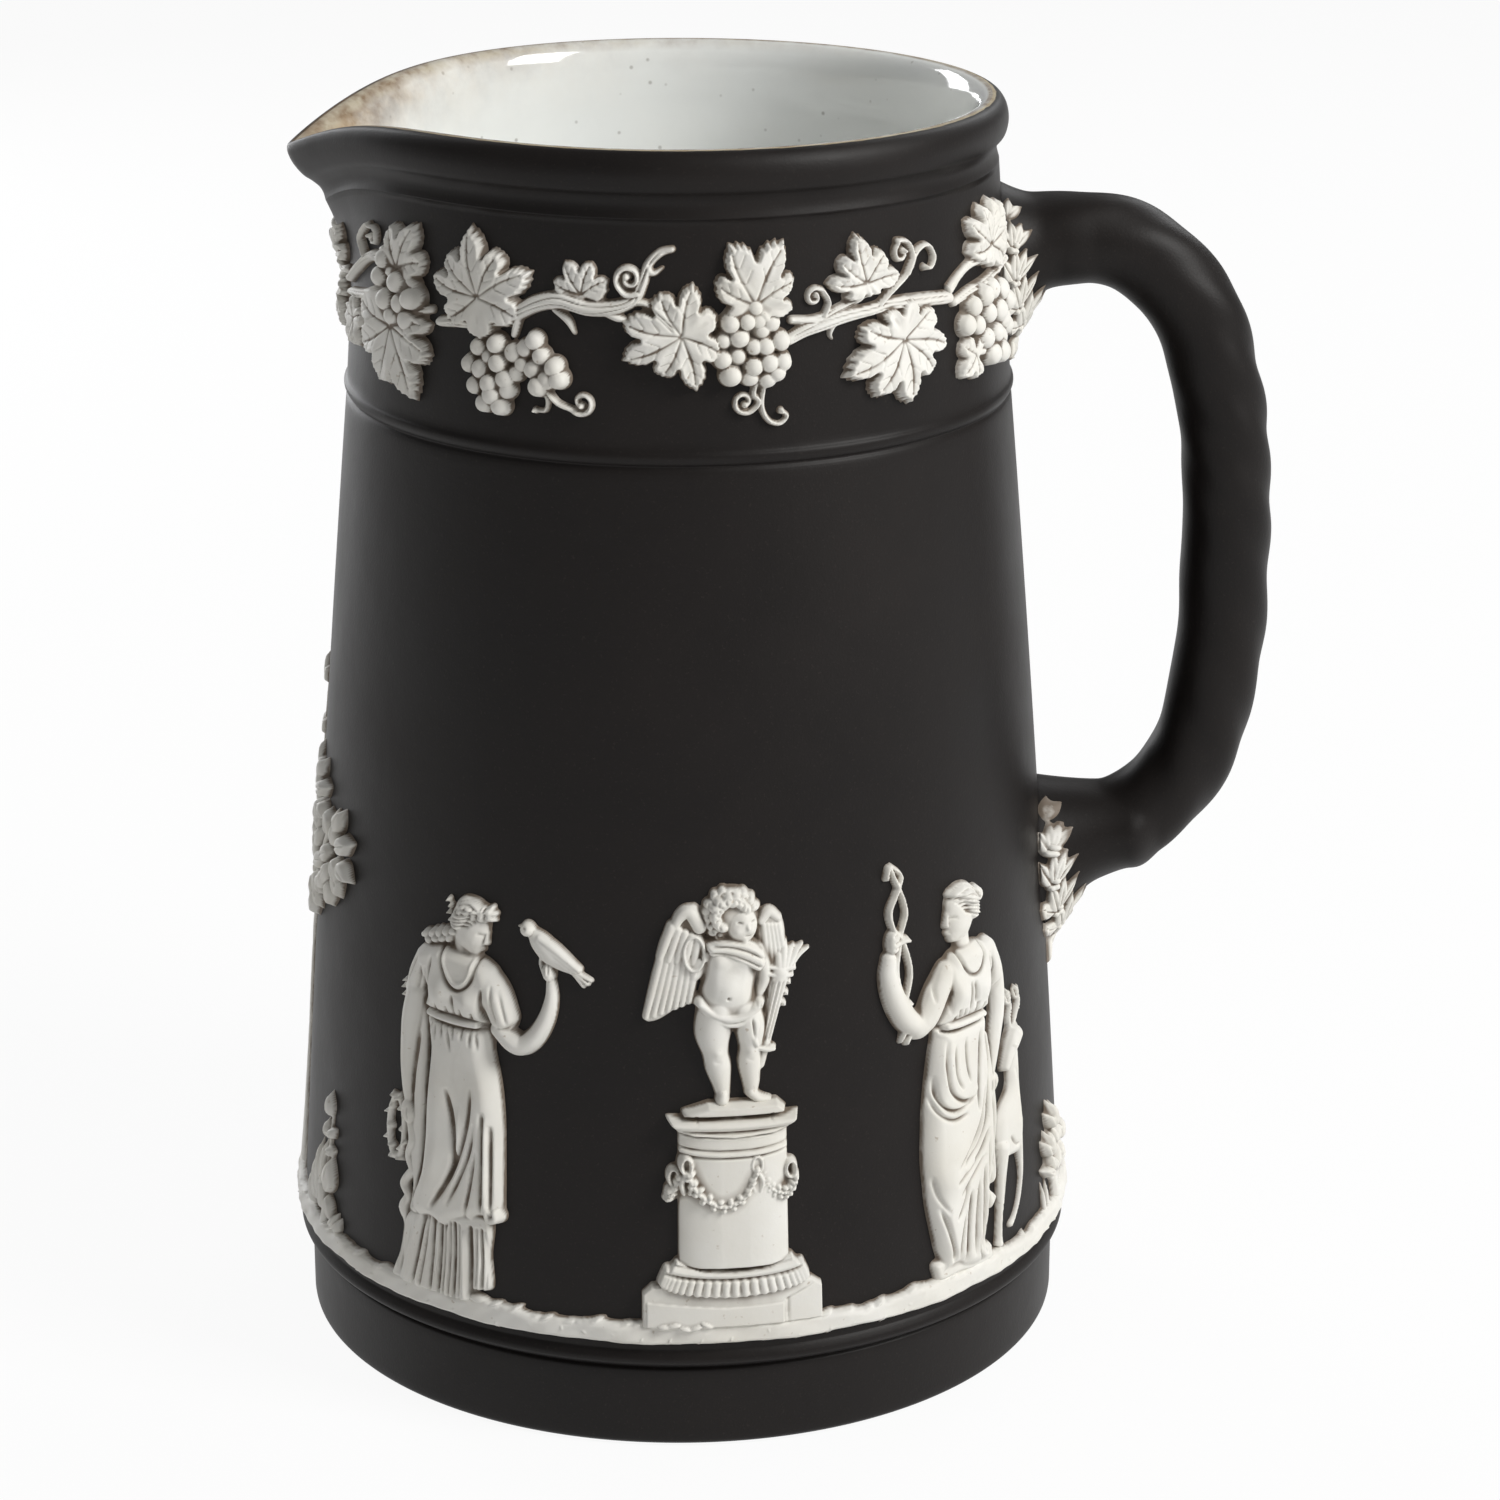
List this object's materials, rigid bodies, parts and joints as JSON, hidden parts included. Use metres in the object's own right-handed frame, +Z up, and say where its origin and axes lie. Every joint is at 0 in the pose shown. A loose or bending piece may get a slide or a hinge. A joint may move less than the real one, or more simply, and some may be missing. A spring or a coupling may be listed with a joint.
{
  "type": "jug",
  "caption": "Tapering black stoneware jug with a pulled lip, a rope-twisted loop handle, white applied vine and figure reliefs, and a pale glazed inside.",
  "frame": {"origin": "on the jug's axis, in the plane that its foot stands on", "axes": "+Z up along the jug's axis, +X from the axis towards the handle, -X towards the pouring lip, -Y towards the front"},
  "size_m": [0.1518, 0.1234, 0.19],
  "materials": {
    "black_stoneware": "fine-grained matte unglazed stoneware, very slightly burnished",
    "white_stoneware": "fine-grained matte white stoneware with brownish dust in the recesses",
    "pale_glaze": "glossy clear glaze over a pale grey-white ground with fine dark specks"
  },
  "bodies": {
    "root": {"body": "black_stoneware", "bush_back": "white_stoneware", "bush_front": "white_stoneware", "deer_back": "white_stoneware", "deer_front": "white_stoneware", "dove_woman_back": "white_stoneware", "dove_woman_front": "white_stoneware", "glaze_lining": "pale_glaze", "ground_strip": "white_stoneware", "handle": "black_stoneware", "lip_tree": "white_stoneware", "lower_wreath": "white_stoneware", "pedestal_back": "white_stoneware", "pedestal_front": "white_stoneware", "sapling_back": "white_stoneware", "sapling_front": "white_stoneware", "scarf_woman_back": "white_stoneware", "scarf_woman_front": "white_stoneware", "upper_wreath": "white_stoneware", "vine_broad_leaf_back": "white_stoneware", "vine_broad_leaf_front": "white_stoneware", "vine_curl_leaf_back": "white_stoneware", "vine_curl_leaf_front": "white_stoneware", "vine_grape_leaf_back": "white_stoneware", "vine_grape_leaf_front": "white_stoneware", "vine_lip_leaves": "white_stoneware", "vine_paired_leaves_back": "white_stoneware", "vine_paired_leaves_front": "white_stoneware", "vine_tall_leaf_back": "white_stoneware", "vine_tall_leaf_front": "white_stoneware", "winged_boy_back": "white_stoneware", "winged_boy_front": "white_stoneware"}
  },
  "joints": []
}
